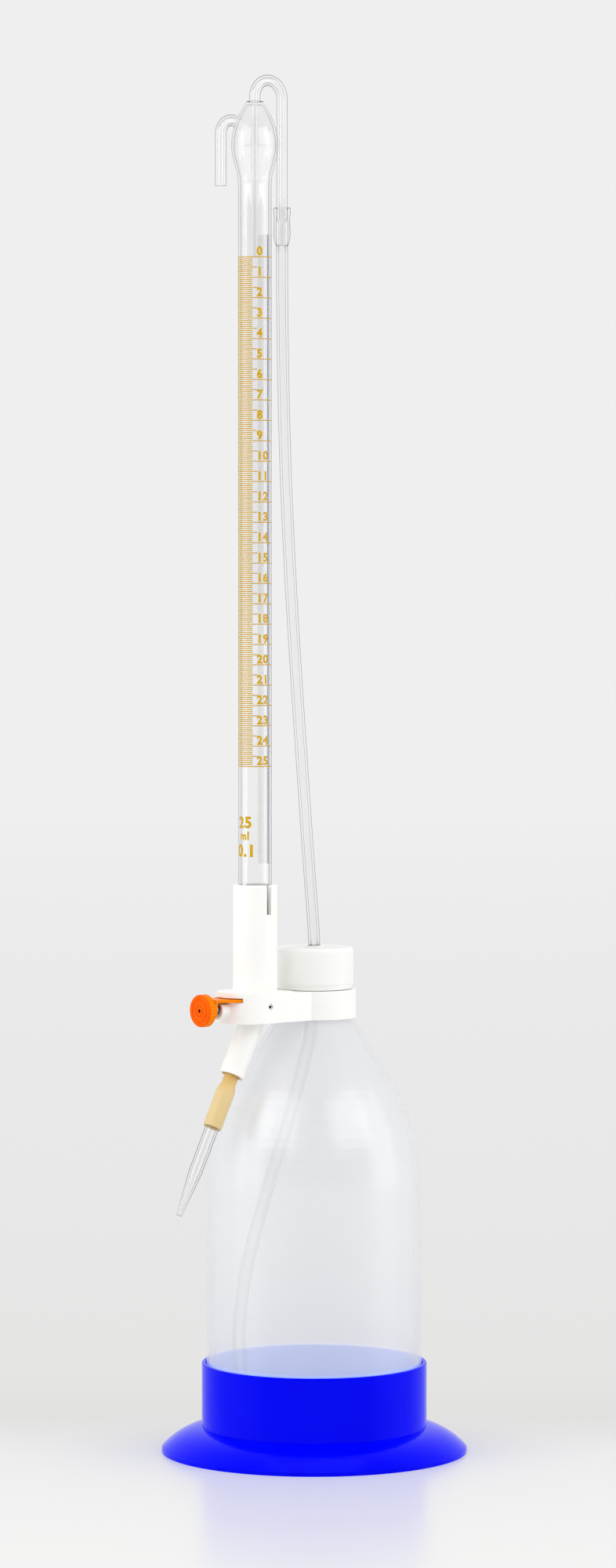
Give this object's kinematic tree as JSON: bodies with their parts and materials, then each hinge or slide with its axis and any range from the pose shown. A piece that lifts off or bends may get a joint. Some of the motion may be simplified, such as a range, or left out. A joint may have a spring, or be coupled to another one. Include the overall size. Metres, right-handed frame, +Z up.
{
  "type": "automatic burette",
  "caption": "Graduated glass burette on a squeeze bottle in a domed stand, self-zeroing through a riser hose, with a pinch valve, push slide and fine screw knob.",
  "frame": {"origin": "centre of the stand's underside, on the bench", "axes": "+Z up along the bottle's axis; the arm, the burette and the knob lie towards -X"},
  "size_m": [0.1417, 0.132, 0.591],
  "materials": {
    "blue_plastic": "moulded, satin gloss",
    "milky_polyethylene": "blow-moulded, translucent",
    "cap_polyethylene": "moulded, milky",
    "liner_foam": "foamed disc",
    "white_plastic": "moulded, satin",
    "clear_glass": "blown and drawn",
    "clear_hose": "extruded, clear",
    "amber_rubber": "extruded, matt",
    "bright_steel": "bright drawn",
    "orange_plastic": "moulded, satin gloss"
  },
  "bodies": {
    "stand": {"stand_base": "blue_plastic"},
    "burette": {"bottle": "milky_polyethylene", "holder_arm": "white_plastic", "burette_sleeve": "white_plastic", "burette_tube": "clear_glass", "hose_cuff": "clear_hose", "fill_hose": "clear_hose", "dip_hose": "clear_hose", "outlet_spout": "white_plastic", "valve_hose": "amber_rubber", "outlet_tip": "clear_glass", "pinch_pin": "bright_steel", "screw_spindle": "bright_steel"},
    "slide": {"pinch_slide": "orange_plastic", "return_spring": "bright_steel"},
    "washer": {"thrust_washer": "bright_steel"},
    "knob": {"fine_screw_knob": "orange_plastic"},
    "liner": {"cap_liner": "liner_foam"},
    "cap": {"screw_cap": "cap_polyethylene"}
  },
  "joints": [
    {"name": "bottle_lift", "type": "slide", "parent": "stand", "child": "burette", "axis": [0, 0, 1], "range_m": [0, 0.045]},
    {"name": "push_slide", "type": "slide", "parent": "burette", "child": "slide", "axis": [1, 0, 0], "range_m": [0, 0.0025], "stiffness_N_per_m": 30, "springref_m": -0.001, "deforming": ["return_spring"]},
    {"name": "fine_screw_feed", "type": "slide", "parent": "burette", "child": "washer", "axis": [1, 0, 0], "range_m": [0, 0.00075]},
    {"name": "fine_screw_turn", "type": "hinge", "parent": "washer", "child": "knob", "pos_m": [-0.0599, 0, 0.19402], "axis": [1, 0, 0], "range_deg": [0, 540]},
    {"name": "cap_rise", "type": "slide", "parent": "burette", "child": "liner", "axis": [0, 0, 1], "range_m": [0, 0.00405]},
    {"name": "cap_turn", "type": "hinge", "parent": "liner", "child": "cap", "pos_m": [0, 0, 0.21], "axis": [0, 0, 1], "range_deg": [0, 360]}
  ],
  "couplings": [
    {"joint": "fine_screw_turn", "follows": "fine_screw_feed", "rad_per_m": 12566},
    {"joint": "cap_rise", "follows": "cap_turn", "m_per_rad": 0.00063662}
  ]
}
